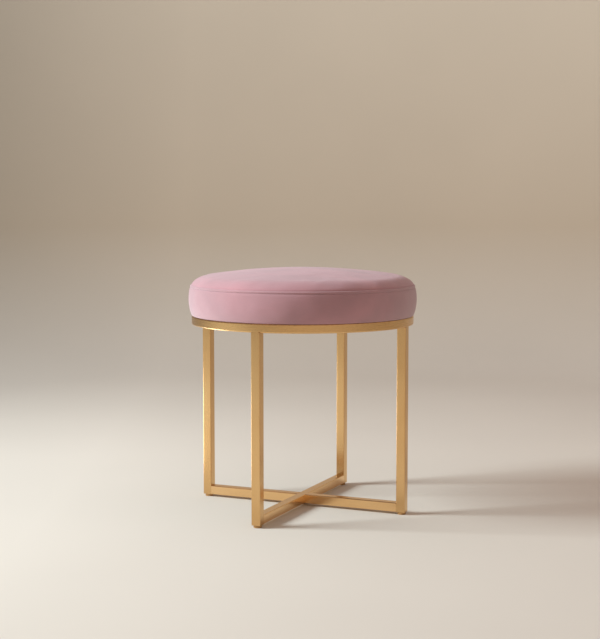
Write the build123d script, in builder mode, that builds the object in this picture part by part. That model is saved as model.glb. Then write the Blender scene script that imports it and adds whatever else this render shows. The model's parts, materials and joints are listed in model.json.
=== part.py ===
from build123d import *
import os

# Round vanity stool: gold tube frame on four levelling pads, with a bolted-on velvet cushion.
# Millimetres, +Z up, origin on the floor under the middle of the seat.
# +X points to the right leg and -Y to the front leg.

# Cushion
cushion_diameter = 400.0
band_height = 52.0
crown_height = 30.5
widest_height = 29.5
seam_setback = 3.2
shoulder_width = 55.0
crown_drop = 7.5
fold_radius = 7.0
cover_thickness = 1.2
cover_turn_under = 54.0
wadding_thickness = 4.0
welt_diameter = 4.6
soft_gap = 0.2

# Seat board and what is fixed to it
board_thickness = 12.0
board_inset = 10.0
dust_cover_thickness = 0.5
dust_cover_gap = 1.5
screw_punch_diameter = 8.0
staple_crown = 10.0
staple_wire = 0.7
staple_length = 6.0
staple_proud = 0.2
cover_staple_count = 36
cover_staple_setback = 8.0
dust_staple_count = 24
dust_staple_setback = 7.0

# Frame
tube_size = 16.0
tube_wall = 1.2
tube_corner = 1.5
leg_length = 320.0
seat_overhang = 5.5
ring_width = 20.0
ring_height = 15.0
ring_wall = 1.2
ring_edge = 2.0
drain_diameter = 5.0
lug_length = 34.0
lug_width = 28.0
lug_thickness = 3.0
lug_corner = 5.0
lug_screw_setback = 20.0
weld_gap = 0.1

# Seat fasteners
screw_diameter = 6.0
screw_length = 16.0
screw_head_diameter = 10.5
screw_head_height = 3.3
screw_head_chamfer = 1.1
screw_socket = 4.0
screw_socket_depth = 2.0
screw_hole_play = 0.6
washer_diameter = 14.0
washer_thickness = 1.6
tee_flange_diameter = 19.0
tee_flange_thickness = 1.2
tee_barrel_diameter = 7.8
tee_length = 10.0
fastener_gap = 0.1

# Levelling feet
pad_diameter = 14.0
pad_height = 4.5
pad_edge = 1.0
pad_floor = 1.0
stem_diameter = 6.0
stem_head_flats = 9.0
stem_head_height = 2.2
stem_reach = 18.0
stem_play = 0.08
insert_height = 20.0
insert_gap = 0.1

# Heights and radii that follow from the sizes above
leg_bottom = pad_height
leg_top = leg_bottom + leg_length
ring_top = leg_top + ring_height
seam_height = ring_top + band_height
apex_height = seam_height + crown_height
board_bottom = ring_top + cover_thickness
board_top = board_bottom + board_thickness
dust_cover_bottom = ring_top - dust_cover_thickness
lug_bottom = dust_cover_bottom - lug_thickness
cushion_radius = cushion_diameter / 2
seam_radius = cushion_radius - seam_setback
ring_outer = cushion_radius - seat_overhang
ring_inner = ring_outer - ring_width
leg_radius = ring_outer - tube_size / 2
bar_reach = leg_radius - tube_size / 2
board_radius = ring_outer - board_inset
margin_radius = ring_outer - cover_turn_under
dust_cover_radius = ring_inner - dust_cover_gap
screw_radius = ring_inner - lug_screw_setback
wadding_inset = cover_thickness + soft_gap
foam_inset = wadding_inset + wadding_thickness + soft_gap

SIDES = {"front": (0, -1), "rear": (0, 1), "left": (-1, 0), "right": (1, 0)}
leg_points = [(x * leg_radius, y * leg_radius) for x, y in SIDES.values()]
screw_points = [(x * screw_radius, y * screw_radius) for x, y in SIDES.values()]

os.makedirs("parts", exist_ok=True)


def save(part, name):
    """Label a finished piece and write its file."""
    part.label = name
    export_step(part, f"parts/{name}.step")


def tube(plane, length):
    """Square tube that starts on a plane and runs along its normal."""
    with BuildPart() as piece:
        with BuildSketch(plane):
            RectangleRounded(tube_size, tube_size, tube_corner)
            Rectangle(tube_size - 2 * tube_wall, tube_size - 2 * tube_wall, mode=Mode.SUBTRACT)
        extrude(amount=length)
    return piece.part


def cushion_section(inset=0.0):
    """Right half of the cushion's upright section, drawn in from its outer face."""
    with BuildSketch() as section:
        with BuildLine():
            shoulder_start = (cushion_radius - shoulder_width, apex_height - crown_drop)
            crown = TangentArc((0, apex_height), shoulder_start, tangent=(1, 0))
            shoulder = TangentArc(crown @ 1, (seam_radius, seam_height), tangent=crown % 1)
            widest = (cushion_radius, ring_top + widest_height)
            band = ThreePointArc(shoulder @ 1, widest, (ring_outer, ring_top))
            Line(band @ 1, (0, ring_top))
            Line((0, ring_top), (0, apex_height))
        make_face()
        foot = section.vertices().group_by(Axis.Y)[0].sort_by(Axis.X)[-1]
        fillet(foot, radius=fold_radius)
        if inset > 0:
            mirror(about=Plane.YZ)
            offset(amount=-inset, kind=Kind.INTERSECTION, mode=Mode.REPLACE)
            Rectangle(cushion_radius, apex_height, align=(Align.MIN, Align.MIN), mode=Mode.INTERSECT)
    return section.sketch


def cover_section():
    """Section of the whole velvet cover, with room for the welt at its seam."""
    with BuildSketch() as section:
        add(cushion_section())
        add(cushion_section(cover_thickness), mode=Mode.SUBTRACT)
        with Locations((seam_radius, seam_height)):
            Circle(welt_diameter / 2 + soft_gap, mode=Mode.SUBTRACT)
    return section.sketch


def board_room(gap):
    """Section of the seat board with a gap all round."""
    with BuildSketch() as section:
        Rectangle(board_radius + gap, board_top + gap, align=(Align.MIN, Align.MIN))
    return section.sketch


def staples(radius, count, crown_bottom):
    """Ring of staples driven up into the seat board, midway between the lugs' lines."""
    crown_spread = (staple_crown - staple_wire) / 2
    with BuildPart() as group:
        with BuildSketch(Plane.XY.offset(crown_bottom)):
            with PolarLocations(radius, count, start_angle=180 / count):
                Rectangle(staple_wire, staple_crown)
        extrude(amount=staple_wire)
        with BuildSketch(Plane.XY.offset(crown_bottom)):
            with PolarLocations(radius, count, start_angle=180 / count):
                with Locations((0, crown_spread), (0, -crown_spread)):
                    Rectangle(staple_wire, staple_wire)
        extrude(amount=staple_length)
    return group.part


# Ring under the seat, a rolled tube with drain holes into the legs
with BuildPart() as seat_ring:
    with BuildSketch(Plane.XZ):
        with Locations((ring_outer - ring_width / 2, leg_top + ring_height / 2)):
            RectangleRounded(ring_width, ring_height, ring_edge)
            Rectangle(ring_width - 2 * ring_wall, ring_height - 2 * ring_wall, mode=Mode.SUBTRACT)
    revolve(axis=Axis.Z)
    with BuildSketch(Plane.XY.offset(leg_top)):
        with Locations(*leg_points):
            Circle(drain_diameter / 2)
    extrude(amount=2 * ring_wall, mode=Mode.SUBTRACT)
save(seat_ring.part, "seat_ring")

# Legs, with a threaded plug, a stud and a pad at the foot of each
for side, (x, y) in SIDES.items():
    foot_x = x * leg_radius
    foot_y = y * leg_radius
    save(tube(Plane((foot_x, foot_y, leg_bottom)), leg_length), f"leg_{side}")

    insert_size = tube_size - 2 * tube_wall - 2 * insert_gap
    with BuildPart() as leg_insert:
        with BuildSketch(Plane((foot_x, foot_y, leg_bottom))):
            Rectangle(insert_size, insert_size)
            Circle(stem_diameter / 2 + stem_play, mode=Mode.SUBTRACT)
        extrude(amount=insert_height)
    save(leg_insert.part, f"leg_insert_{side}")

    with BuildPart() as levelling_stem:
        with BuildSketch(Plane((foot_x, foot_y, pad_floor))):
            RegularPolygon(stem_head_flats / 2, 6, major_radius=False)
        extrude(amount=stem_head_height)
        with BuildSketch(Plane((foot_x, foot_y, pad_floor))):
            Circle(stem_diameter / 2)
        extrude(amount=leg_bottom - pad_floor + stem_reach)
    save(levelling_stem.part, f"levelling_stem_{side}")

    with BuildPart() as foot_pad:
        with BuildSketch(Plane((foot_x, foot_y, 0))):
            Circle(pad_diameter / 2)
        extrude(amount=pad_height)
        fillet(foot_pad.edges().group_by(Axis.Z)[0], radius=pad_edge)
        with BuildSketch(Plane((foot_x, foot_y, pad_floor))):
            RegularPolygon(stem_head_flats / 2, 6, major_radius=False)
        extrude(amount=stem_head_height, mode=Mode.SUBTRACT)
        with BuildSketch(Plane((foot_x, foot_y, pad_floor))):
            Circle(stem_diameter / 2)
        extrude(amount=pad_height, mode=Mode.SUBTRACT)
    save(foot_pad.part, f"foot_pad_{side}")

# Cross bars: one runs through from front to rear, two halves butt against it
bar_height = leg_bottom + tube_size / 2
through_plane = Plane((0, bar_reach, bar_height), x_dir=(1, 0, 0), z_dir=(0, -1, 0))
save(tube(through_plane, 2 * bar_reach), "cross_bar_through")
for side in ("left", "right"):
    x = SIDES[side][0]
    half_plane = Plane((x * tube_size / 2, 0, bar_height), x_dir=(0, 1, 0), z_dir=(x, 0, 0))
    save(tube(half_plane, bar_reach - tube_size / 2), f"cross_bar_{side}")

# Lugs welded inside the ring, which the seat is bolted to
for side, (x, y) in SIDES.items():
    with BuildPart() as seat_lug:
        with BuildSketch(Plane((0, 0, lug_bottom), x_dir=(x, y, 0))) as lug_shape:
            with Locations((ring_inner - lug_length, 0)):
                Rectangle(ring_width + lug_length, lug_width, align=(Align.MIN, Align.CENTER))
            fillet(lug_shape.vertices().group_by(Axis.X)[0], radius=lug_corner)
            Circle(ring_inner - weld_gap, mode=Mode.INTERSECT)
            with Locations((screw_radius, 0)):
                Circle(screw_diameter / 2 + screw_hole_play, mode=Mode.SUBTRACT)
        extrude(amount=lug_thickness)
    save(seat_lug.part, f"seat_lug_{side}")

# Seat board, rounded where the cover folds under it, with seats for the tee nuts
with BuildPart() as seat_board:
    with BuildSketch(Plane.XZ):
        add(board_room(0))
        add(cushion_section(cover_thickness), mode=Mode.INTERSECT)
    revolve(axis=Axis.Z)
    with Locations(*[(x, y, board_top) for x, y in screw_points]):
        CounterBoreHole(
            radius=tee_barrel_diameter / 2 + fastener_gap,
            counter_bore_radius=tee_flange_diameter / 2 + fastener_gap,
            counter_bore_depth=tee_flange_thickness,
        )
save(seat_board.part, "seat_board")

# Tee nuts, flush with the top of the board
with BuildPart() as tee_nuts:
    with BuildSketch(Plane.XY.offset(board_top - tee_flange_thickness)):
        with Locations(*screw_points):
            Circle(tee_flange_diameter / 2)
    extrude(amount=tee_flange_thickness)
    with BuildSketch(Plane.XY.offset(board_top - tee_length)):
        with Locations(*screw_points):
            Circle(tee_barrel_diameter / 2)
    extrude(amount=tee_length)
    with BuildSketch(Plane.XY.offset(board_top - tee_length)):
        with Locations(*screw_points):
            Circle(screw_diameter / 2 + fastener_gap)
    extrude(amount=tee_length, mode=Mode.SUBTRACT)
save(tee_nuts.part, "tee_nuts")

# Socket screws up through the lugs, each on a washer
washer_bottom = lug_bottom - washer_thickness
with BuildPart() as seat_screws:
    with BuildSketch(Plane.XY.offset(washer_bottom - screw_head_height)):
        with Locations(*screw_points):
            Circle(screw_head_diameter / 2)
    extrude(amount=screw_head_height)
    chamfer(seat_screws.edges().group_by(Axis.Z)[0], length=screw_head_chamfer)
    with BuildSketch(Plane.XY.offset(washer_bottom)):
        with Locations(*screw_points):
            Circle(screw_diameter / 2)
    extrude(amount=screw_length)
    with BuildSketch(Plane.XY.offset(washer_bottom - screw_head_height)):
        with Locations(*screw_points):
            RegularPolygon(screw_socket / 2, 6, major_radius=False)
    extrude(amount=screw_socket_depth, mode=Mode.SUBTRACT)
save(seat_screws.part, "seat_screws")

with BuildPart() as seat_washers:
    with BuildSketch(Plane.XY.offset(washer_bottom)):
        with Locations(*screw_points):
            Circle(washer_diameter / 2)
            Circle(screw_diameter / 2 + fastener_gap, mode=Mode.SUBTRACT)
    extrude(amount=washer_thickness)
save(seat_washers.part, "seat_washers")

# Foam, wrapped round the board's edge
with BuildPart() as foam_core:
    with BuildSketch(Plane.XZ):
        add(cushion_section(foam_inset))
        add(board_room(soft_gap), mode=Mode.SUBTRACT)
    revolve(axis=Axis.Z)
save(foam_core.part, "foam_core")

# Wadding over the foam, pressed in where the welt lies
with BuildPart() as wadding:
    with BuildSketch(Plane.XZ):
        add(cushion_section(wadding_inset))
        add(cushion_section(wadding_inset + wadding_thickness), mode=Mode.SUBTRACT)
        add(board_room(soft_gap), mode=Mode.SUBTRACT)
        with Locations((seam_radius, seam_height)):
            Circle(welt_diameter / 2 + soft_gap, mode=Mode.SUBTRACT)
    revolve(axis=Axis.Z)
save(wadding.part, "wadding")

# Velvet cover: crowned top, bulged side band turned under the board, and a welt in the seam
with BuildPart() as cover_top_panel:
    with BuildSketch(Plane.XZ):
        add(cover_section())
        with Locations((0, seam_height)):
            Rectangle(cushion_radius, crown_height, align=(Align.MIN, Align.MIN), mode=Mode.INTERSECT)
    revolve(axis=Axis.Z)
save(cover_top_panel.part, "cover_top_panel")

with BuildPart() as cover_side_band:
    with BuildSketch(Plane.XZ):
        add(cover_section())
        with Locations((margin_radius, ring_top)):
            Rectangle(cushion_radius, band_height, align=(Align.MIN, Align.MIN), mode=Mode.INTERSECT)
    revolve(axis=Axis.Z)
    with BuildSketch(Plane.XY.offset(ring_top)):
        with Locations(*screw_points):
            Circle(screw_punch_diameter / 2)
    extrude(amount=cover_thickness, mode=Mode.SUBTRACT)
save(cover_side_band.part, "cover_side_band")

with BuildPart() as cover_welt:
    with BuildSketch(Plane.XZ):
        with Locations((seam_radius, seam_height)):
            Circle(welt_diameter / 2)
    revolve(axis=Axis.Z)
save(cover_welt.part, "cover_welt")

# Dust cover under the board, and the staples of both layers
with BuildPart() as dust_cover:
    with BuildSketch(Plane.XY.offset(dust_cover_bottom)):
        Circle(dust_cover_radius)
        with Locations(*screw_points):
            Circle(screw_punch_diameter / 2, mode=Mode.SUBTRACT)
    extrude(amount=dust_cover_thickness)
save(dust_cover.part, "dust_cover")

save(staples(margin_radius + cover_staple_setback, cover_staple_count, ring_top), "cover_staples")
dust_crown = dust_cover_bottom - staple_proud
save(staples(dust_cover_radius - dust_staple_setback, dust_staple_count, dust_crown), "dust_cover_staples")
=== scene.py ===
"""Dresses the round vanity stool: satin gold tube frame, dusty pink velvet cushion, soft studio light.

Lengths are metres in the stool's own frame: +Z up, origin on the floor under the middle of the seat.
"""

import json
import logging
import math
from dataclasses import dataclass, replace
from enum import Enum
from typing import Any, Iterable, Sequence

import bmesh
import bpy
import numpy as np
from mathutils import Matrix, Vector

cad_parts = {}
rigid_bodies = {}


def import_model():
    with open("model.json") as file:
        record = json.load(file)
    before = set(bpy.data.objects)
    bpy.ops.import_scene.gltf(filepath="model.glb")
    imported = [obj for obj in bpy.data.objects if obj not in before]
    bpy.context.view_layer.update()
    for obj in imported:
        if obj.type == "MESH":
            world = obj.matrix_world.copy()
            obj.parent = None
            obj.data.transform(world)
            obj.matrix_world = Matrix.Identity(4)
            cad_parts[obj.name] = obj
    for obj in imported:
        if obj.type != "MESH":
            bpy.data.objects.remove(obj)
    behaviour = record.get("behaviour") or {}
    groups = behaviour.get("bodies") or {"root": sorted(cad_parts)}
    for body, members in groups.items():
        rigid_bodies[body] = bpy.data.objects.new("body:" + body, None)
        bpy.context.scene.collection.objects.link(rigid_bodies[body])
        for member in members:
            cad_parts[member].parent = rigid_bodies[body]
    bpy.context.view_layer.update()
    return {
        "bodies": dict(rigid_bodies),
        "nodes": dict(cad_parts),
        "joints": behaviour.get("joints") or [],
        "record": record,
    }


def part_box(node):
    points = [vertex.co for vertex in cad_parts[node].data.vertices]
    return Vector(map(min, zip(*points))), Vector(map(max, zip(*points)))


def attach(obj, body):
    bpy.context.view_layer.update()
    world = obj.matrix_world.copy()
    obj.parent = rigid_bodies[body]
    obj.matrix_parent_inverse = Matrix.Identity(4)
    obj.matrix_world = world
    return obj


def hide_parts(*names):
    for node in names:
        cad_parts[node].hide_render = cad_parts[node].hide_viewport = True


LOG = logging.getLogger("stool")

Colour = tuple[float, float, float, float]
Triple = tuple[float, float, float]
Span = tuple[float, float]
Faces = list[tuple[int, ...]]
Material = bpy.types.Material
Piece = bpy.types.Object
Nodes = dict[str, Piece]
Array = np.ndarray
Socket = bpy.types.NodeSocket

SIDES = ("front", "rear", "left", "right")
FRAME_BODY = "frame"

# A point nearer to the upright axis than this is a pole.
ON_AXIS = 1e-6

# Most of a noise lies within the first span, and nearly all of it within the second.
NOISE_SPAN = (0.3, 0.7)
WIDE_SPAN = (0.25, 0.75)
NOISE_MIDDLE = 0.5

# Cloth settings of the stuffed cover.
FABRIC = {
    "quality": 5, "mass": 0.25, "tension_stiffness": 20, "compression_stiffness": 20,
    "shear_stiffness": 8, "bending_stiffness": 4, "use_pressure": True,
    "uniform_pressure_force": 4.0, "shrink_min": -0.03,
}


def srgb(*levels: int) -> Colour:
    """Turn a display colour, as red, green and blue up to 255, into the linear one that shaders use."""
    shares = [level / 255 for level in levels]
    return (*(s / 12.92 if s <= 0.04045 else ((s + 0.055) / 1.055) ** 2.4 for s in shares), 1.0)


def grey(value: float) -> Colour:
    """A linear grey."""
    return (value, value, value, 1.0)


WHITE = grey(1.0)


class Grain(Enum):
    """Which way the brushing of a metal piece runs."""

    ALONG_X = "along_x"
    ALONG_Y = "along_y"
    ALONG_Z = "along_z"
    AROUND_Z = "around_z"


class NodeGraph:
    """A node tree and short ways to add and join its nodes."""

    def __init__(self, tree: bpy.types.NodeTree) -> None:
        """Keep the tree that is built in."""
        self.tree = tree

    def add(self, kind: str, inputs: dict[str, Any] | None = None, **settings: Any) -> bpy.types.Node:
        """Add a node, set its properties and fill its inputs.

        Args:
            kind: The node's type name.
            inputs: Input names with a socket or a value for each.
            **settings: Properties to set on the node.

        Returns:
            The new node.
        """
        node = self.tree.nodes.new(kind)
        for name, value in settings.items():
            setattr(node, name, value)
        for name, value in (inputs or {}).items():
            self.feed(next(s for s in node.inputs if s.name == name and s.enabled), value)
        return node

    def out(self, kind: str, inputs: dict[str, Any] | None = None, **settings: Any) -> Socket:
        """Add a node as add does, and give the first of its outputs that is in use."""
        return next(s for s in self.add(kind, inputs, **settings).outputs if s.enabled)

    def feed(self, target: Socket, value: Any) -> None:
        """Link a socket to an input, or set the input to a plain value.

        Args:
            target: The input.
            value: A socket or a value.
        """
        if isinstance(value, Socket):
            self.tree.links.new(value, target)
        else:
            target.default_value = value

    def math(self, operation: str, *values: Socket | float) -> Socket:
        """Calculate with sockets and numbers.

        Args:
            operation: The math node's operation.
            *values: Its operands.

        Returns:
            The result.
        """
        node = self.add("ShaderNodeMath", operation=operation)
        for target, value in zip(node.inputs, values):
            self.feed(target, value)
        return node.outputs[0]


class ShaderGraph(NodeGraph):
    """A material that reads the object's own coordinates."""

    def __init__(self, name: str) -> None:
        """Start a material with a plain shader.

        Args:
            name: The material's name.
        """
        self.material = bpy.data.materials.new(name)
        self.material.use_nodes = True
        super().__init__(self.material.node_tree)
        self.tree.nodes.clear()
        self.shader = self.add("ShaderNodeBsdfPrincipled")
        self.add("ShaderNodeOutputMaterial", {"Surface": self.shader.outputs["BSDF"]})
        self.place = self.add("ShaderNodeTexCoord").outputs["Object"]

    def set(self, **values: Any) -> None:
        """Feed the shader's own sockets, named with underscores for spaces."""
        for name, value in values.items():
            self.feed(self.shader.inputs[name.replace("_", " ")], value)

    def axes(self, place: Socket) -> Iterable[Socket]:
        """Split coordinates into X, Y and Z."""
        return self.add("ShaderNodeSeparateXYZ", {"Vector": place}).outputs

    def polar(self) -> Socket:
        """Turn the object's coordinates into distance from the upright axis, angle about it and height.

        Returns:
            The new coordinates.
        """
        x, y, z = self.axes(self.place)
        squares = self.math("ADD", self.math("MULTIPLY", x, x), self.math("MULTIPLY", y, y))
        reach, angle = self.math("SQRT", squares), self.math("ARCTAN2", y, x)
        return self.out("ShaderNodeCombineXYZ", {"X": reach, "Y": angle, "Z": z})

    def stretched(self, scale: Triple, place: Socket | None = None) -> Socket:
        """Stretch coordinates, or else the object's own, along X, Y and Z."""
        return self.out("ShaderNodeMapping", {"Vector": place or self.place, "Scale": scale})

    def noise(self, octaves: float, scale: float = 1.0, place: Socket | None = None,
              warp: float = 0.0) -> Socket:
        """Add a noise, 0 to 1, with its features per metre, or a scale of 1 in stretched coordinates."""
        sizes = {"Scale": scale, "Detail": octaves, "Distortion": warp}
        return self.out("ShaderNodeTexNoise", {"Vector": place or self.place, **sizes})

    def ramp(self, value: Socket, stops: Sequence[tuple[float, Colour]]) -> Socket:
        """Turn a value into a colour.

        Args:
            value: The value, 0 to 1.
            stops: Positions and their colours.

        Returns:
            The colour.
        """
        node = self.add("ShaderNodeValToRGB", {"Fac": value})
        elements = node.color_ramp.elements
        while len(elements) < len(stops):
            elements.new(0.5)
        for element, (position, colour) in zip(elements, stops):
            element.position = position
            element.color = colour
        return node.outputs["Color"]

    def tones(self, value: Socket, deep: Colour, pale: Colour, span: Span = NOISE_SPAN) -> Socket:
        """Turn a noise value into a tone between two colours, which the ends of a span have."""
        return self.ramp(value, tuple(zip(span, (deep, pale))))

    def mapped(self, value: Socket, span: Span, result: Span = (0.0, 1.0)) -> Socket:
        """Map a value from one span to another, and hold it there."""
        sizes = dict(zip(("From Min", "From Max", "To Min", "To Max"), (*span, *result)))
        return self.out("ShaderNodeMapRange", {"Value": value, **sizes})

    def multiply(self, first: Socket, second: Socket) -> Socket:
        """Multiply two colours."""
        colours = {"Factor": 1.0, "A": first, "B": second}
        return self.out("ShaderNodeMix", colours, data_type="RGBA", blend_type="MULTIPLY")

    def bump(self, height: Socket, distance: float, strength: float) -> None:
        """Raise the surface by a pattern, to a distance in metres and with a share of the effect."""
        sizes = {"Height": height, "Distance": distance, "Strength": strength}
        self.set(Normal=self.out("ShaderNodeBump", sizes))


@dataclass(frozen=True)
class SatinGold:
    """Brass-coloured plating on tube, brushed to a satin."""

    grain: Grain
    pale: Colour = srgb(233, 193, 138)
    deep: Colour = srgb(221, 177, 121)
    rough: Span = (0.18, 0.27)
    clouds_per_metre: float = 7.0
    streaks_per_metre: float = 2600.0
    streak_run: float = 26.0
    streak_run_per_radian: float = 5.2
    streak_shade: float = 0.90
    streak_height: float = 0.00001

    def material(self) -> Material:
        """Make the material with streaks that are fine across the grain and long along it.

        Returns:
            The material.
        """
        graph = ShaderGraph(f"satin_gold_{self.grain.value}")
        fine, run = self.streaks_per_metre, self.streak_run
        scales = {
            Grain.ALONG_X: (run, fine, fine),
            Grain.ALONG_Y: (fine, run, fine),
            Grain.ALONG_Z: (fine, fine, run),
            Grain.AROUND_Z: (fine, self.streak_run_per_radian, fine),
        }
        place = graph.polar() if self.grain is Grain.AROUND_Z else graph.place
        streaks = graph.noise(octaves=4.0, place=graph.stretched(scales[self.grain], place))
        clouds = graph.noise(octaves=3.0, scale=self.clouds_per_metre, warp=0.4)
        tint = graph.tones(clouds, self.deep, self.pale)
        shade = graph.tones(streaks, grey(self.streak_shade), WHITE, WIDE_SPAN)
        rough = graph.mapped(streaks, NOISE_SPAN, self.rough)
        graph.set(Metallic=1.0, Base_Color=graph.multiply(tint, shade), Roughness=rough)
        graph.bump(streaks, self.streak_height, strength=0.6)
        return graph.material


@dataclass(frozen=True)
class Velvet:
    """Short-pile dusty pink velvet with soft strokes where the nap lies another way."""

    name: str
    pale: Colour = srgb(171, 97, 106)
    deep: Colour = srgb(147, 78, 87)
    sheen: float = 0.55
    rough: Span = (0.56, 0.66)
    strokes_per_metre: Triple = (8.0, 17.0, 12.0)
    pile_per_metre: float = 1500.0
    pile_shade: float = 0.86
    pile_height: float = 0.0005

    def material(self) -> Material:
        """Make the material.

        Returns:
            The material.
        """
        graph = ShaderGraph(self.name)
        graph.set(Sheen_Weight=self.sheen, Sheen_Roughness=0.95, Sheen_Tint=srgb(248, 247, 255))
        nap = graph.noise(octaves=2.0, place=graph.stretched(self.strokes_per_metre), warp=0.5)
        pile = graph.noise(octaves=2.0, scale=self.pile_per_metre)
        tint = graph.tones(nap, self.deep, self.pale)
        speckle = graph.tones(pile, grey(self.pile_shade), WHITE, WIDE_SPAN)
        rough = graph.mapped(nap, NOISE_SPAN, self.rough)
        graph.set(Base_Color=graph.multiply(tint, speckle), Roughness=rough, Specular_IOR_Level=0.2)
        graph.bump(pile, self.pile_height, strength=0.35)
        return graph.material


@dataclass(frozen=True)
class Mottled:
    """A plain material with a two-tone mottle and a fine surface texture."""

    name: str
    pale: Colour
    deep: Colour
    rough: Span
    metallic: float = 0.0
    patches_per_metre: float = 40.0
    texture_per_metre: float = 900.0
    texture_height: float = 0.0001

    def material(self) -> Material:
        """Make the material.

        Returns:
            The material.
        """
        graph = ShaderGraph(self.name)
        patches = graph.noise(octaves=4.0, scale=self.patches_per_metre)
        texture = graph.noise(octaves=3.0, scale=self.texture_per_metre)
        rough = graph.mapped(texture, NOISE_SPAN, self.rough)
        tint = graph.tones(patches, self.deep, self.pale)
        graph.set(Metallic=self.metallic, Base_Color=tint, Roughness=rough)
        graph.bump(texture, self.texture_height, strength=0.6)
        return graph.material


@dataclass(frozen=True)
class Plywood:
    """Raw plywood: long grain on its faces and thin dark plies at its edge."""

    pale: Colour = srgb(214, 182, 138)
    deep: Colour = srgb(178, 140, 96)
    rough: Span = (0.62, 0.8)
    grain_per_metre: Triple = (14.0, 240.0, 420.0)
    grain_height: float = 0.0002

    def material(self) -> Material:
        """Make the material.

        Returns:
            The material.
        """
        graph = ShaderGraph("raw_plywood")
        grain = graph.noise(octaves=5.0, place=graph.stretched(self.grain_per_metre), warp=0.5)
        tint = graph.tones(grain, self.deep, self.pale)
        graph.set(Base_Color=tint, Roughness=graph.mapped(grain, NOISE_SPAN, self.rough))
        graph.bump(grain, self.grain_height, strength=0.5)
        return graph.material


BRONZE_NYLON = Mottled("bronze_nylon", srgb(186, 142, 88), srgb(166, 122, 70), (0.38, 0.52))
BLACK_NYLON = Mottled("black_nylon", srgb(46, 46, 48), srgb(34, 34, 36), (0.45, 0.6))
ZINC_PLATE = Mottled(
    "zinc_plate", srgb(206, 208, 212), srgb(176, 178, 184), (0.28, 0.42), metallic=1.0,
    patches_per_metre=160.0, texture_per_metre=2400.0, texture_height=0.00002,
)
SEAT_FOAM = Mottled(
    "seat_foam", srgb(236, 222, 184), srgb(222, 204, 160), (0.85, 0.95),
    texture_per_metre=1200.0, texture_height=0.0006,
)
WHITE_WADDING = Mottled(
    "white_wadding", srgb(244, 244, 242), srgb(230, 230, 228), (0.9, 0.98),
    texture_per_metre=500.0, texture_height=0.0008,
)
BLACK_DUST_CLOTH = Mottled(
    "black_dust_cloth", srgb(40, 40, 42), srgb(26, 26, 28), (0.8, 0.95),
    patches_per_metre=300.0, texture_per_metre=1600.0, texture_height=0.0002,
)


def placed(name: str, data: bpy.types.ID) -> Piece:
    """Make an object at the origin and link it to the scene.

    Args:
        name: The object's name.
        data: Its mesh, light or camera.

    Returns:
        The new object.
    """
    piece = bpy.data.objects.new(name, data)
    bpy.context.scene.collection.objects.link(piece)
    return piece


def plain_mesh(name: str, verts: Array, faces: Faces, thickness: float = 0.0) -> Piece:
    """Make a smooth-shaded mesh object at the origin.

    Args:
        name: The piece's name.
        verts: Vertex positions.
        faces: Vertex indices of each face.
        thickness: Thickness behind the outer face, where the mesh is an open sheet.

    Returns:
        The new object.
    """
    mesh = bpy.data.meshes.new(name)
    mesh.from_pydata(verts.tolist(), [], faces)
    mesh.polygons.foreach_set("use_smooth", [True] * len(mesh.polygons))
    mesh.update()
    piece = placed(name, mesh)
    if thickness:
        wall = piece.modifiers.new("thickness", "SOLIDIFY")
        wall.thickness = thickness
        wall.offset = -1.0
    return piece


def lathe(outline: Array, segments: int) -> tuple[Array, Faces]:
    """Turn an outline about the upright axis.

    Args:
        outline: Radius and height of each point. A radius of 0 becomes one pole.
        segments: Steps around the axis.

    Returns:
        Vertices and faces, which point outwards where the outline runs down the outside.
    """
    turn = np.linspace(0, 2 * np.pi, segments, endpoint=False)
    verts: list[Triple] = []
    rings: list[list[int]] = []
    for radius, height in outline:
        start = len(verts)
        if radius < ON_AXIS:
            verts.append((0.0, 0.0, height))
            rings.append([start] * segments)
        else:
            verts.extend((radius * math.cos(a), radius * math.sin(a), height) for a in turn)
            rings.append(list(range(start, start + segments)))
    faces: Faces = []
    for upper, lower in zip(rings, rings[1:]):
        for here in range(segments):
            there = (here + 1) % segments
            corners = (upper[here], lower[here], lower[there], upper[there])
            faces.append(tuple(dict.fromkeys(corners)))
    return np.array(verts), faces


def unit(vectors: Array) -> Array:
    """Scale a vector, or each row of vectors, to a length of 1."""
    return vectors / np.linalg.norm(vectors, axis=-1, keepdims=True)


def bearing(centre: Array, point: Array) -> float:
    """Angle of a point as seen from a centre."""
    return math.atan2(*(point - centre)[::-1])


def on_circle(centre: Array, radius: float, angles: Array) -> Array:
    """Points of a circle at some angles."""
    return centre + radius * np.column_stack((np.cos(angles), np.sin(angles)))


def arc_between(start: Array, tangent: Array, end: Array, count: int) -> Array:
    """Points of the arc that leaves a point along a tangent and ends at another, turning clockwise.

    Args:
        start: First point.
        tangent: Direction at the first point.
        end: Last point.
        count: Number of points, both ends included.

    Returns:
        The points.
    """
    heading = unit(tangent)
    inward = np.array((heading[1], -heading[0]))
    chord = end - start
    radius = float(chord @ chord / (2 * inward @ chord))
    centre = start + inward * radius
    return on_circle(centre, radius, np.linspace(bearing(centre, start), bearing(centre, end), count))


def circle_centre(points: Array) -> Array:
    """Centre of the circle through three points."""
    sides = points[1:] - points[0]
    return points[0] + np.linalg.solve(2 * sides, (sides**2).sum(axis=1))


def along(outline: Array) -> Array:
    """Distance of each outline point from the first, along the outline."""
    steps = np.linalg.norm(np.diff(outline, axis=0), axis=1)
    return np.concatenate(([0.0], np.cumsum(steps)))


def drawn_in(outline: Array, inset: float, low_edge: float) -> Array:
    """Draw an outline in from the outer face and cut it off at a height.

    Args:
        outline: The outer points, from the middle of the top down the outside.
        inset: Distance from the outer face.
        low_edge: Lowest height that is kept.

    Returns:
        The inner points.
    """
    heading = unit(np.gradient(outline, axis=0))
    inner = outline + inset * np.column_stack((heading[:, 1], -heading[:, 0]))
    inner[0, 0] = 0.0
    return inner[inner[:, 1] > low_edge]


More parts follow.
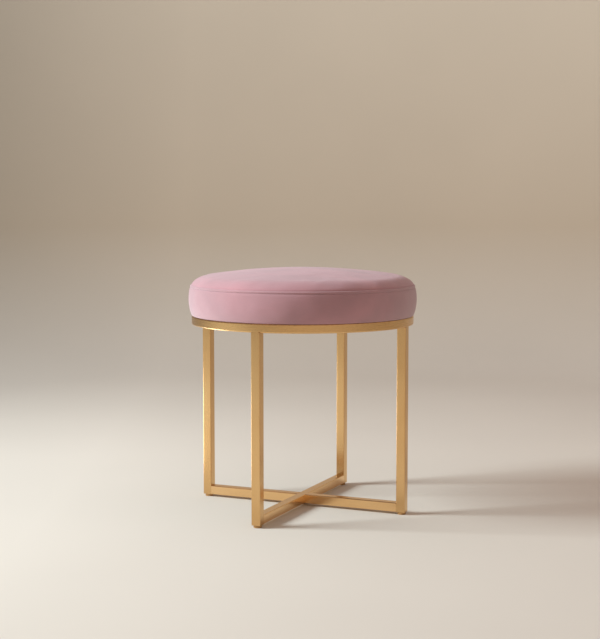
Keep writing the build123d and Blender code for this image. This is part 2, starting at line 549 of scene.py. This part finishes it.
def respaced(outline: Array, step: float) -> Array:
    """Space an outline's points evenly.

    Args:
        outline: The points.
        step: Wanted distance between points.

    Returns:
        Evenly spaced points with the same ends.
    """
    run = along(outline)
    marks = np.linspace(0, run[-1], max(2, round(run[-1] / step) + 1))
    return np.column_stack([np.interp(marks, run, outline[:, axis]) for axis in range(2)])


@dataclass
class CushionShape:
    """Upright section of the cushion, as radius and height."""

    radius: float
    ring_radius: float
    ring_top: float
    seam: Array
    apex: float
    shoulder_width: float = 0.031
    crown_drop: float = 0.0130
    widest_height: float = 0.0295
    fold_radius: float = 0.0022
    arc_points: int = 60

    @classmethod
    def from_frame(cls) -> "CushionShape":
        """Read the cushion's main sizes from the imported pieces.

        Returns:
            The shape.
        """
        band_low, band_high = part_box("cover_side_band")
        welt_low, welt_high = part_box("cover_welt")
        cord_radius = (welt_high.z - welt_low.z) / 2
        return cls(
            radius=band_high.x,
            ring_radius=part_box("seat_ring")[1].x,
            ring_top=band_low.z,
            seam=np.array((welt_high.x - cord_radius, welt_low.z + cord_radius)),
            apex=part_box("cover_top_panel")[1].z,
        )

    def crown(self) -> Array:
        """Draw the top panel as a flat dome and a rounder shoulder.

        Returns:
            Its outline, from the middle out to the seam.
        """
        top = np.array((0.0, self.apex))
        shoulder = np.array((self.radius - self.shoulder_width, self.apex - self.crown_drop))
        dome = arc_between(top, np.array((1.0, 0.0)), shoulder, self.arc_points)
        edge = arc_between(shoulder, dome[-1] - dome[-2], self.seam, self.arc_points)
        return np.vstack((dome, edge[1:]))

    def band(self) -> Array:
        """Draw the side band as a bulged wall and a tight fold on the ring.

        Returns:
            Its outline, from the seam down to where it has folded under.
        """
        widest = (self.radius, self.ring_top + self.widest_height)
        foot = (self.ring_radius, self.ring_top)
        centre = circle_centre(np.array((self.seam, widest, foot)))
        bulge = float(np.linalg.norm(self.seam - centre))
        fold_height = self.ring_top + self.fold_radius
        reach = math.sqrt((bulge - self.fold_radius) ** 2 - (fold_height - centre[1]) ** 2)
        fold = np.array((centre[0] + reach, fold_height))
        lean = bearing(centre, fold)
        side = np.linspace(bearing(centre, self.seam), lean, self.arc_points)
        under = np.linspace(lean, -math.pi / 2, self.arc_points)
        turn = on_circle(fold, self.fold_radius, under)
        return np.vstack((on_circle(centre, bulge, side), turn[1:]))


class GeometryTree(NodeGraph):
    """A Geometry Nodes tree with named sizes."""

    def __init__(self, name: str) -> None:
        """Start an empty tree with a geometry output.

        Args:
            name: The tree's name.
        """
        super().__init__(bpy.data.node_groups.new(name, "GeometryNodeTree"))
        self.tree.interface.new_socket("Geometry", in_out="OUTPUT", socket_type="NodeSocketGeometry")
        self.sizes = self.add("NodeGroupInput")
        self.settings: dict[str, Any] = {}

    def size(self, name: str, value: float | int | Material) -> Socket:
        """Add a named input and remember its value.

        Args:
            name: The input's name.
            value: The value that the modifier is given.

        Returns:
            The input's socket inside the tree.
        """
        kinds = {int: "NodeSocketInt", float: "NodeSocketFloat"}
        kind = kinds.get(type(value), "NodeSocketMaterial")
        socket = self.tree.interface.new_socket(name, in_out="INPUT", socket_type=kind)
        self.settings[socket.identifier] = value
        return self.sizes.outputs[name]

    def piece(self, name: str, geometry: Socket, material: Socket) -> Piece:
        """End the tree in real geometry with a material, run it and keep its result as a plain mesh.

        Args:
            name: The piece's name.
            geometry: What the tree has made.
            material: The material's input.

        Returns:
            The finished object, with no modifier left on it.
        """
        real = self.out("GeometryNodeRealizeInstances", {"Geometry": geometry})
        dressed = self.out("GeometryNodeSetMaterial", {"Geometry": real, "Material": material})
        self.add("NodeGroupOutput", {"Geometry": dressed})
        piece = placed(name, bpy.data.meshes.new(name))
        modifier = piece.modifiers.new("nodes", "NODES")
        modifier.node_group = self.tree
        for identifier, value in self.settings.items():
            modifier[identifier] = value
        graph = bpy.context.evaluated_depsgraph_get()
        made = bpy.data.meshes.new_from_object(piece.evaluated_get(graph))
        piece.modifiers.clear()
        piece.data = made
        made.name = name
        return piece


def keep(piece: Piece, slot: str, *nodes: str) -> None:
    """Put a finished piece on the stool's frame, in place of CAD nodes.

    Args:
        piece: The finished piece.
        slot: The record's material slot; not used.
        *nodes: CAD nodes that it stands for.
    """
    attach(piece, FRAME_BODY)
    if nodes:
        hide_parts(*nodes)
    LOG.info("%s: %d faces on %s", piece.name, len(piece.data.polygons), FRAME_BODY)


def dress(nodes: Nodes, names: Iterable[str], material: Material) -> None:
    """Give CAD nodes a material.

    Args:
        nodes: The frame's nodes.
        names: Which of them to dress.
        material: The material.
    """
    for name in names:
        node = nodes[name]
        if not node.material_slots:
            node.data.materials.append(material)
        for slot in node.material_slots:
            slot.material = material
        LOG.info("%s: dressed in %s", name, material.name)


def each_side(stem: str) -> list[str]:
    """Names of the four nodes that share a stem."""
    return [f"{stem}_{side}" for side in SIDES]


@dataclass
class TubeFrame:
    """Welded gold frame: ring, legs, cross bars and lugs."""

    nodes: Nodes
    # Lighter gold for the bars than for the legs: painted light on the same tube.
    bar_tones_painted_lighter: tuple[Colour, Colour] = (srgb(252, 212, 158), srgb(243, 199, 142))
    ring_rough: Span = (0.22, 0.32)
    tube_corner: float = 0.0015
    ring_edge: float = 0.002
    fill_overlap: float = 0.0003
    bar_fill_sunk: float = 0.00003
    ring_fill_sunk: float = 0.00012

    def build(self) -> None:
        """Fill the grooves where ring, legs and bars meet, as welds that were ground flush."""
        mesh = bmesh.new()
        for quarter in range(len(SIDES)):
            turn = Matrix.Rotation(quarter * math.pi / 2, 4, "Z")
            for section, sweep in self._fill_sections():
                near = [mesh.verts.new(turn @ corner) for corner in section]
                far = [mesh.verts.new(turn @ (corner + sweep)) for corner in section]
                mesh.faces.new(near)
                mesh.faces.new(far)
                for here in range(len(section)):
                    there = (here + 1) % len(section)
                    mesh.faces.new((near[here], near[there], far[there], far[here]))
        bmesh.ops.recalc_face_normals(mesh, faces=mesh.faces[:])
        data = bpy.data.meshes.new("weld_fills")
        mesh.to_mesh(data)
        mesh.free()
        data.materials.append(SatinGold(Grain.ALONG_Z).material())
        keep(placed("weld_fills", data), "gold_frame")

    def _fill_sections(self) -> list[tuple[list[Vector], Vector]]:
        """Sections of the fills at the right leg, and how far each one is swept.

        Returns:
            Three corners and a sweep for each fill.
        """
        leg_low, leg_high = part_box("leg_right")
        bar_low, bar_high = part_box("cross_bar_right")
        fills = []
        reach = self.tube_corner + self.fill_overlap
        foot = bar_low.z + self.tube_corner
        upward = Vector((0.0, 0.0, bar_high.z - self.tube_corner - foot))
        for sign in (1.0, -1.0):
            face = sign * (bar_high.y - self.bar_fill_sunk)
            corners = ((-self.fill_overlap, face), (reach, face), (0.0, face - sign * reach))
            fills.append(([Vector((leg_low.x + x, y, foot)) for x, y in corners], upward))
        half_width = leg_high.y - self.tube_corner
        edge = self.ring_edge + self.fill_overlap
        outer = leg_high.x - self.ring_fill_sunk
        corners = ((outer, -self.fill_overlap), (outer, edge), (outer - edge, 0.0))
        section = [Vector((x, -half_width, leg_high.z + z)) for x, z in corners]
        fills.append((section, Vector((0.0, 2 * half_width, 0.0))))
        return fills

    def dress(self) -> None:
        """Brush each piece along its own length, and give the bars a lighter gold that is painted light."""
        upright = SatinGold(Grain.ALONG_Z).material()
        crosswise_painted_lighter = SatinGold(Grain.ALONG_X, *self.bar_tones_painted_lighter).material()
        lengthwise_painted_lighter = SatinGold(Grain.ALONG_Y, *self.bar_tones_painted_lighter).material()
        around = SatinGold(Grain.AROUND_Z, rough=self.ring_rough).material()
        dress(self.nodes, each_side("leg"), upright)
        dress(self.nodes, ["cross_bar_left", "cross_bar_right"], crosswise_painted_lighter)
        dress(self.nodes, ["cross_bar_through"], lengthwise_painted_lighter)
        dress(self.nodes, ["seat_ring", *each_side("seat_lug")], around)


@dataclass
class LevellingFeet:
    """Screw-in pads, their studs and the plugs that take them."""

    nodes: Nodes

    def dress(self) -> None:
        """Give pads, plugs and studs their finishes."""
        finishes = {"foot_pad": BRONZE_NYLON, "leg_insert": BLACK_NYLON, "levelling_stem": ZINC_PLATE}
        for stem, finish in finishes.items():
            dress(self.nodes, each_side(stem), finish.material())


@dataclass
class SeatFixings:
    """Plywood board with its tee nuts, and the screws that hold it down."""

    nodes: Nodes

    def dress(self) -> None:
        """Give board and fasteners their finishes."""
        dress(self.nodes, ["seat_board"], Plywood().material())
        dress(self.nodes, ["tee_nuts", "seat_screws", "seat_washers"], ZINC_PLATE.material())


@dataclass
class SeatCushion:
    """Velvet cover with its welt, over wadding and foam."""

    shape: CushionShape
    segments: int = 180
    row_step: float = 0.0045
    fold_step: float = 0.0008
    cover_thickness: float = 0.0012
    margin_width: float = 0.046
    rest_lift: float = 0.0001
    sewn_height: float = 0.0003
    seam_depth: float = 0.0024
    seam_roll: float = 0.0072
    roll_rows: int = 6
    sim_frames: int = 20
    ripple_limit: float = 0.00028
    ripple_fade: float = 0.018
    middle_fade: float = 6.0
    ripple_smoothing: int = 4
    start_unevenness: float = 0.0004
    seed: int = 7
    wadding_inset: float = 0.0018
    wadding_thickness: float = 0.0034
    foam_gap: float = 0.0004
    welt_tuck: float = 0.0020
    welt_unevenness: float = 0.0006
    welt_waves_per_metre: float = 60.0
    welt_steps: int = 360
    cord_sides: int = 20
    # The top panel's velvet: less sheen for its nap, and a base colour lighter than the band's, which is
    # painted light on the lit top.
    top_nap_painted_lighter: Velvet = Velvet("velvet_top_nap", srgb(184, 112, 122), srgb(160, 93, 103), sheen=0.47)
    side_nap: Velvet = Velvet("velvet_side_nap")

    def build(self) -> None:
        """Make the cover, the welt and the filling."""
        top, side = self.top_nap_painted_lighter.material(), self.side_nap.material()
        crown, band = self._rolled_rows()
        ripple = self._ripple(crown, band)
        top_count = len(crown)
        self._cover("velvet_top", crown, ripple[:top_count], top, "cover_top_panel")
        self._cover("velvet_band", band, ripple[top_count - 1:], side, "cover_side_band")
        self._welt(side)
        self._filling(np.vstack((crown, band[1:])))

    def _rolled_rows(self) -> tuple[Array, Array]:
        """Outlines of top panel and band, each rolled into the seam beside the welt.

        Returns:
            Rows of the top panel and rows of the band.
        """
        crown = respaced(self.shape.crown(), self.row_step)
        fold = self.shape.band()
        fold[:, 1] = np.maximum(fold[:, 1], self.shape.ring_top + self.rest_lift)
        inner_edge = fold[-1] - np.array((self.margin_width, 0.0))
        turn_start = self.shape.arc_points - 1
        wall = respaced(fold[:turn_start + 1], self.row_step)
        turn = respaced(fold[turn_start:], self.fold_step)
        margin = respaced(np.array((fold[-1], inner_edge)), self.row_step)
        band = np.vstack((wall, turn[1:], margin[1:]))
        roll_step = self.seam_roll / self.roll_rows
        crown = np.vstack((crown[:-2], respaced(crown[-3:], roll_step)[1:]))
        band = np.vstack((respaced(band[:3], roll_step)[:-1], band[2:]))
        into = self._seam_direction()
        crown = crown + into * self._roll(along(crown[::-1])[::-1])[:, None]
        band = band + into * self._roll(along(band))[:, None]
        return crown, band

    def _seam_direction(self) -> Array:
        """Direction from the seam into the cushion, midway between panel and band."""
        crown, band = self.shape.crown(), self.shape.band()
        return unit(unit(crown[-3] - crown[-1]) + unit(band[2] - band[0]))

    def _roll(self, distance: Array) -> Array:
        """How far rows dip into the seam, by their distance from it."""
        return self.seam_depth * np.clip(1 - distance / self.seam_roll, 0, 1) ** 2

    def _ripple(self, crown: Array, band: Array) -> Array:
        """Let stuffed fabric settle and keep how far it leaves its even round shape.

        Args:
            crown: Rows of the top panel.
            band: Rows of the band, the first of which is the panel's last.

        Returns:
            Offsets of each row and segment, as radius and height.
        """
        rows = np.vstack((crown, band[1:]))
        verts, faces = lathe(np.vstack((rows, (0.0, rows[-1, 1]))), self.segments)
        rng = np.random.default_rng(self.seed)
        uneven = rng.normal(0.0, self.start_unevenness, verts.shape)
        uneven[0] = 0.0
        bag = plain_mesh("fabric_bag", verts + uneven, faces)
        sewn = verts[:, 2] < self.shape.ring_top + self.sewn_height
        seam_start = 1 + self.segments * (len(crown) - 2)
        sewn[seam_start:seam_start + self.segments] = True
        settled = self._settle(bag, np.flatnonzero(sewn))
        bpy.data.objects.remove(bag)
        uneven_part = self._uneven_part(settled, verts, len(rows))
        from_seam = np.abs(along(rows) - along(crown)[-1])
        above_ring = rows[:, 1] - self.shape.ring_top
        near_edge = np.minimum.reduce((from_seam, rows[:, 0] / self.middle_fade, above_ring))
        share = np.clip(near_edge / self.ripple_fade, 0, 1)
        return uneven_part * (share**2 * (3 - 2 * share))[:, None, None]

    def _settle(self, bag: Piece, pinned: Array) -> Array:
        """Blow up a fabric bag with cloth simulation.

        Args:
            bag: The closed fabric.
            pinned: Indices of the vertices that are sewn down.

        Returns:
            Vertex positions after the last frame.
        """
        sewn = bag.vertex_groups.new(name="sewn")
        sewn.add(pinned.tolist(), 1.0, "REPLACE")
        cloth = bag.modifiers.new("cloth", "CLOTH")
        for name, value in FABRIC.items():
            setattr(cloth.settings, name, value)
        cloth.settings.vertex_group_mass = sewn.name
        cloth.settings.effector_weights.gravity = 0.0
        cloth.collision_settings.use_collision = False
        cloth.point_cache.frame_start = 1
        cloth.point_cache.frame_end = self.sim_frames
        scene = bpy.context.scene
        for frame in range(1, self.sim_frames + 1):
            scene.frame_set(frame)
        settled = bag.evaluated_get(bpy.context.evaluated_depsgraph_get()).to_mesh()
        flat = np.empty(len(settled.vertices) * 3)
        settled.vertices.foreach_get("co", flat)
        scene.frame_set(1)
        return flat.reshape(-1, 3)

    def _uneven_part(self, settled: Array, verts: Array, row_count: int) -> Array:
        """Take the even swelling out of a settled bag.

        Args:
            settled: Positions after the simulation.
            verts: Positions before it.
            row_count: Rows of the bag, the middle of the top included.

        Returns:
            What is left, as radius and height for each row and segment, within the ripple limit.
        """
        rings = slice(1, 1 + self.segments * (row_count - 1))
        moved = settled[rings] - verts[rings]
        radial = (moved[:, :2] * unit(verts[rings, :2])).sum(axis=1)
        offsets = np.stack((radial, moved[:, 2]), axis=1).reshape(row_count - 1, self.segments, 2)
        offsets -= offsets.mean(axis=1, keepdims=True)
        for _ in range(self.ripple_smoothing):
            offsets = (np.roll(offsets, 1, axis=1) + 2 * offsets + np.roll(offsets, -1, axis=1)) / 4
        offsets = self.ripple_limit * np.tanh(offsets / self.ripple_limit)
        return np.concatenate((np.zeros((1, self.segments, 2)), offsets))

    def _cover(self, name: str, rows: Array, ripple: Array, velvet: Material, node: str) -> None:
        """Make one velvet panel with its thickness.

        Args:
            name: The piece's name.
            rows: Its rows, as radius and height.
            ripple: Offsets of each row and segment.
            velvet: Its material.
            node: The CAD node that it stands for.
        """
        verts, faces = lathe(rows, self.segments)
        first = 1 if rows[0, 0] < ON_AXIS else 0
        shift = ripple[first:].reshape(-1, 2)
        verts[first:, :2] += unit(verts[first:, :2]) * shift[:, :1]
        verts[first:, 2] += shift[:, 1]
        panel = plain_mesh(name, verts, faces, self.cover_thickness)
        smooth = panel.modifiers.new("smooth", "SUBSURF")
        smooth.levels = smooth.render_levels = 1
        panel.data.materials.append(velvet)
        keep(panel, "velvet", node)

    def _welt(self, velvet: Material) -> None:
        """Make the piped cord that lies in the seam.

        Args:
            velvet: Its material.
        """
        low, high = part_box("cover_welt")
        middle = self.shape.seam + self.welt_tuck * self._seam_direction()
        tree = GeometryTree("welt")
        cord_radius = tree.size("Cord Radius", (high.z - low.z) / 2)
        ring_radius = tree.size("Ring Radius", float(middle[0]))
        height = tree.size("Height", float(middle[1]))
        unevenness = tree.size("Unevenness", self.welt_unevenness)
        material = tree.size("Velvet", velvet)
        circle = "GeometryNodeCurvePrimitiveCircle"
        ring = tree.out(circle, {"Resolution": self.welt_steps, "Radius": ring_radius})
        profile = tree.out(circle, {"Resolution": self.cord_sides, "Radius": cord_radius})
        lift = tree.out("ShaderNodeCombineXYZ", {"Z": height})
        raised = tree.out("GeometryNodeSetPosition", {"Geometry": ring, "Offset": lift})
        cord = tree.out("GeometryNodeCurveToMesh", {"Curve": raised, "Profile Curve": profile})
        waves = {"Scale": self.welt_waves_per_metre, "Detail": 2.0}
        waver = tree.math("SUBTRACT", tree.out("ShaderNodeTexNoise", waves), NOISE_MIDDLE)
        amount = tree.math("MULTIPLY", waver, unevenness)
        normal = tree.out("GeometryNodeInputNormal")
        push = tree.out("ShaderNodeVectorMath", {"Vector": normal, "Scale": amount}, operation="SCALE")
        wavy = tree.out("GeometryNodeSetPosition", {"Geometry": cord, "Offset": push})
        smooth = tree.out("GeometryNodeSetShadeSmooth", {"Geometry": wavy, "Shade Smooth": True})
        cord_piece = tree.piece("velvet_welt", smooth, material)
        keep(cord_piece, "velvet", "cover_welt")

    def _filling(self, cover: Array) -> None:
        """Make the foam and the wadding under the cover.

        Args:
            cover: Rows of the cover's outer face, top panel and band together.
        """
        outer_face = respaced(cover, self.row_step / 2)
        board_low, board_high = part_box("seat_board")
        board_radius = board_high.x + self.foam_gap
        board_top = board_high.z + self.foam_gap
        wadding_inner = self.wadding_inset + self.wadding_thickness
        foam_inset = wadding_inner + self.foam_gap
        low_edge = board_low.z + self.foam_gap + foam_inset
        recess = ((board_radius, low_edge), (board_radius, board_top), (0.0, board_top))
        foam = np.vstack((drawn_in(outer_face, foam_inset, low_edge), recess))
        outer = drawn_in(outer_face, self.wadding_inset, low_edge)
        inner = drawn_in(outer_face, wadding_inner, low_edge)
        wadding = np.vstack((outer, inner[::-1]))
        layers = (
            ("foam_block", foam, SEAT_FOAM, "seat_foam", "foam_core"),
            ("wadding_layer", wadding, WHITE_WADDING, "wadding", "wadding"),
        )
        for name, outline, finish, slot, node in layers:
            block = plain_mesh(name, *lathe(outline, self.segments // 2))
            block.data.materials.append(finish.material())
            keep(block, slot, node)


@dataclass
class Underside:
    """Black dust cloth under the seat, and the staples of both layers."""

    segments: int = 144
    rings: int = 44
    sag: float = 0.0016
    flat_from: float = 0.132
    pucker: float = 0.00025
    pucker_power: int = 6
    pucker_fade: float = 0.25
    cloth_thickness: float = 0.0004
    cloth_staples: int = 24
    margin_staples: int = 36
    wire_radius: float = 0.00035
    wire_sides: int = 8
    crown_length: float = 0.0100

    def build(self) -> None:
        """Make the cloth and both rings of staples."""
        self._dust_cloth()
        self._staples("cloth_staples", "dust_cover_staples", self.cloth_staples)
        self._staples("margin_staples", "cover_staples", self.margin_staples)

    def _dust_cloth(self) -> None:
        """Make the stretched cloth, which sags a little inside the lugs."""
        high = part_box("dust_cover")[1]
        radii = np.linspace(0.0, high.x, self.rings)
        droop = self.sag * np.clip(1 - (radii / self.flat_from) ** 2, 0, 1)
        verts, faces = lathe(np.column_stack((radii, high.z - droop)), self.segments)
        turn = np.arctan2(verts[:, 1], verts[:, 0])
        reach = np.linalg.norm(verts[:, :2], axis=1) / high.x
        share = reach**self.pucker_power * np.clip((1 - reach) / self.pucker_fade, 0, 1)
        verts[:, 2] += self.pucker * np.cos(self.cloth_staples * turn) * share
        cloth = plain_mesh("dust_cloth", verts, faces, self.cloth_thickness)
        cloth.data.materials.append(BLACK_DUST_CLOTH.material())
        keep(cloth, "dust_cloth", "dust_cover")

    def _staples(self, name: str, node: str, count: int) -> None:
        """Make a ring of wire staples.

        Args:
            name: The piece's name.
            node: The CAD node that they stand for.
            count: How many there are.
        """
        low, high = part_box(node)
        half_turn = math.pi / count
        crown_rise = self.crown_length / 2 * math.tan(half_turn)
        tree = GeometryTree(name)
        radius = tree.size("Ring Radius", high.x / math.cos(half_turn) - crown_rise - self.wire_radius)
        number = tree.size("Count", count)
        wire = tree.size("Wire Radius", self.wire_radius)
        crown = tree.size("Crown", self.crown_length)
        leg = tree.size("Leg", high.z - low.z)
        base = tree.size("Base Height", low.z + self.wire_radius)
        first = tree.size("First Angle", half_turn)
        material = tree.size("Zinc", ZINC_PLATE.material())
        circle = tree.out("GeometryNodeMeshCircle", {"Vertices": number, "Radius": radius})
        round_wire = {"Vertices": self.wire_sides, "Radius": wire}
        crown_bar = tree.out("GeometryNodeMeshCylinder", {**round_wire, "Depth": crown})
        leg_bar = tree.out("GeometryNodeMeshCylinder", {**round_wire, "Depth": leg})
        laid = {"Geometry": crown_bar, "Rotation": (math.pi / 2, 0, 0)}
        bars = [tree.out("GeometryNodeTransform", laid)]
        half_crown = tree.math("MULTIPLY", crown, 0.5)
        half_leg = tree.math("MULTIPLY", leg, 0.5)
        for sign in (1.0, -1.0):
            end = {"Y": tree.math("MULTIPLY", half_crown, sign), "Z": half_leg}
            stood = {"Geometry": leg_bar, "Translation": tree.out("ShaderNodeCombineXYZ", end)}
            bars.append(tree.out("GeometryNodeTransform", stood))
        staple = tree.add("GeometryNodeJoinGeometry")
        for bar in bars:
            tree.feed(staple.inputs[0], bar)
        spot = tree.out("GeometryNodeInputPosition")
        facing_out = tree.out("FunctionNodeAlignEulerToVector", {"Vector": spot}, axis="X")
        copies = {"Points": circle, "Instance": staple.outputs[0], "Rotation": facing_out}
        ring = tree.out("GeometryNodeInstanceOnPoints", copies)
        turned = tree.out("ShaderNodeCombineXYZ", {"Z": first})
        lifted = tree.out("ShaderNodeCombineXYZ", {"Z": base})
        seat = {"Geometry": ring, "Rotation": turned, "Translation": lifted}
        seated = tree.out("GeometryNodeTransform", seat)
        keep(tree.piece(name, seated, material), "zinc_fasteners", node)


@dataclass(frozen=True)
class Lamp:
    """A square lamp, placed from the stool towards the picture's left, the camera and up."""

    name: str
    left: float
    front: float
    height: float
    size: float
    power: float
    colour: Triple = (1.0, 1.0, 1.0)


def facing(place: Vector, aim: Vector) -> Matrix:
    """Placement of a lamp or a camera that looks along a direction."""
    return Matrix.Translation(place) @ aim.to_track_quat("-Z", "Y").to_matrix().to_4x4()


@dataclass
class Studio:
    """Seamless warm paper all round, soft light from the left, and the photograph's camera."""

    azimuth: float = math.radians(23.51)
    distance: float = 2.4026
    eye_height: float = 0.5438
    pitch: float = math.radians(5.07)
    yaw: float = math.radians(-0.11)
    lens: float = 77.23
    floor_radius: float = 1.75
    sweep_radius: float = 1.4
    sweep_steps: int = 24
    wall_height: float = 2.2
    paper_segments: int = 96
    paper_rough: Span = (0.8, 0.9)
    mottle_per_metre: float = 1.4
    mottle_shade: float = 0.96
    tint_height: float = 2.0
    # Tints by height, part paper colour and part painted light: darker low on the wall, lighter higher up.
    paper_tints_and_painted_light: tuple[tuple[float, Colour], ...] = (
        (0.0, srgb(228, 223, 215)), (0.22, srgb(214, 200, 181)), (0.8, srgb(243, 233, 217)),
    )
    side_span: Span = (-2.6, 2.4)
    # Painted shade across the paper, darker towards both sides.
    side_shades: tuple[Span, ...] = (
        (0.0, 0.35), (0.24, 0.58), (0.43, 0.93), (0.70, 1.0), (0.80, 1.0), (0.96, 0.8),
    )
    # Painted shade towards the back of the paper.
    back_span: Span = (0.5, 2.0)
    back_shade: float = 0.88
    key: Lamp = Lamp("key", 2.58, 0.36, 1.62, size=1.0, power=107.0, colour=(0.885, 0.983, 1.0))
    glow_power: float = 8.0
    low_card: Lamp = Lamp("low_card", 0.45, -0.03, 0.10, size=0.2, power=0.65)
    aim_height: float = 0.3
    room_colour: Colour = (1.0, 0.77, 0.69, 1.0)
    room_strength: float = 0.50

    def build(self) -> None:
        """Make the stage, the lights and the camera."""
        self._paper()
        self._lights()
        self._camera()
        bpy.context.scene.view_settings.view_transform = "Standard"

    def _level(self, front: float, right: float) -> Vector:
        """Level vector with these parts towards the camera and to the picture's right."""
        x, y = math.cos(self.azimuth), math.sin(self.azimuth)
        return Vector((y, -x, 0.0)) * front + Vector((x, y, 0.0)) * right

    def _paper(self) -> None:
        """Make a round floor that sweeps up into a wall."""
        bend = np.linspace(-math.pi / 2, 0, self.sweep_steps)
        sweep = on_circle(np.array((self.floor_radius, self.sweep_radius)), self.sweep_radius, bend)
        wall_top = (self.floor_radius + self.sweep_radius, self.wall_height)
        verts, faces = lathe(np.vstack(((0.0, 0.0), sweep, wall_top)), self.paper_segments)
        paper = plain_mesh("studio_paper", verts, [face[::-1] for face in faces])
        paper.data.materials.append(self._paper_finish())

    def _paper_finish(self) -> Material:
        """Tint the paper by its height with painted light, darker low on the wall and lighter higher up, and
        paint shade on it to both sides and to the back.

        Returns:
            The material.
        """
        graph = ShaderGraph("studio_paper")
        turned = {"Vector": graph.place, "Rotation": (0.0, 0.0, self.azimuth)}
        right, back, up = graph.axes(graph.out("ShaderNodeMapping", turned, vector_type="TEXTURE"))
        tint_and_painted_light = graph.ramp(graph.mapped(up, (0.0, self.tint_height)), self.paper_tints_and_painted_light)
        mottle = graph.noise(octaves=2.0, scale=self.mottle_per_metre)
        tone = graph.tones(mottle, grey(self.mottle_shade), WHITE)
        # Painted shade towards the sides and the back, multiplied into the paper's colour.
        shades = [(position, grey(shade)) for position, shade in self.side_shades]
        painted_side_shade = graph.ramp(graph.mapped(right, self.side_span), shades)
        painted_back_shade = graph.tones(graph.mapped(back, self.back_span), WHITE, grey(self.back_shade), (0.0, 1.0))
        colour = graph.multiply(graph.multiply(tint_and_painted_light, tone), graph.multiply(painted_side_shade, painted_back_shade))
        rough = graph.mapped(mottle, NOISE_SPAN, self.paper_rough)
        graph.set(Base_Color=colour, Roughness=rough, Specular_IOR_Level=0.0)
        return graph.material

    def _lights(self) -> None:
        """Make the key light, the part of it that metal shows, a card for the ring's edge and room light."""
        self._hang(self.key).visible_glossy = False
        self._hang(replace(self.key, name="key_glow", power=self.glow_power))
        card = self._hang(self.low_card)
        card.visible_diffuse = card.visible_camera = False
        world = bpy.data.worlds.new("studio")
        bpy.context.scene.world = world
        world.use_nodes = True
        backdrop = world.node_tree.nodes["Background"]
        backdrop.inputs["Color"].default_value = self.room_colour
        backdrop.inputs["Strength"].default_value = self.room_strength

    def _hang(self, lamp: Lamp) -> Piece:
        """Make a lamp that faces the seat.

        Args:
            lamp: Its place and light.

        Returns:
            The lamp's object.
        """
        light = bpy.data.lights.new(lamp.name, "AREA")
        light.size = lamp.size
        light.energy = lamp.power
        light.color = lamp.colour
        place = self._level(lamp.front, -lamp.left) + Vector((0.0, 0.0, lamp.height))
        hung = placed(lamp.name, light)
        hung.matrix_world = facing(place, Vector((0.0, 0.0, self.aim_height)) - place)
        return hung

    def _camera(self) -> None:
        """Make the camera where the photograph was taken."""
        level = self._level(-math.cos(self.yaw), math.sin(self.yaw))
        forward = level * math.cos(self.pitch) - Vector((0.0, 0.0, math.sin(self.pitch)))
        data = bpy.data.cameras.new("photo_camera")
        data.lens = self.lens
        camera = placed("photo_camera", data)
        eye = self._level(self.distance, 0.0) + Vector((0.0, 0.0, self.eye_height))
        camera.matrix_world = facing(eye, forward)
        bpy.context.scene.camera = camera


def main() -> None:
    """Load the frame and dress it, sub-assembly by sub-assembly."""
    logging.basicConfig(level=logging.INFO, format="%(name)s %(message)s")
    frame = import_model()
    nodes = frame["nodes"]
    Studio().build()
    tubes = TubeFrame(nodes)
    tubes.build()
    tubes.dress()
    LevellingFeet(nodes).dress()
    SeatFixings(nodes).dress()
    SeatCushion(CushionShape.from_frame()).build()
    Underside().build()


if __name__ == "__main__":
    main()
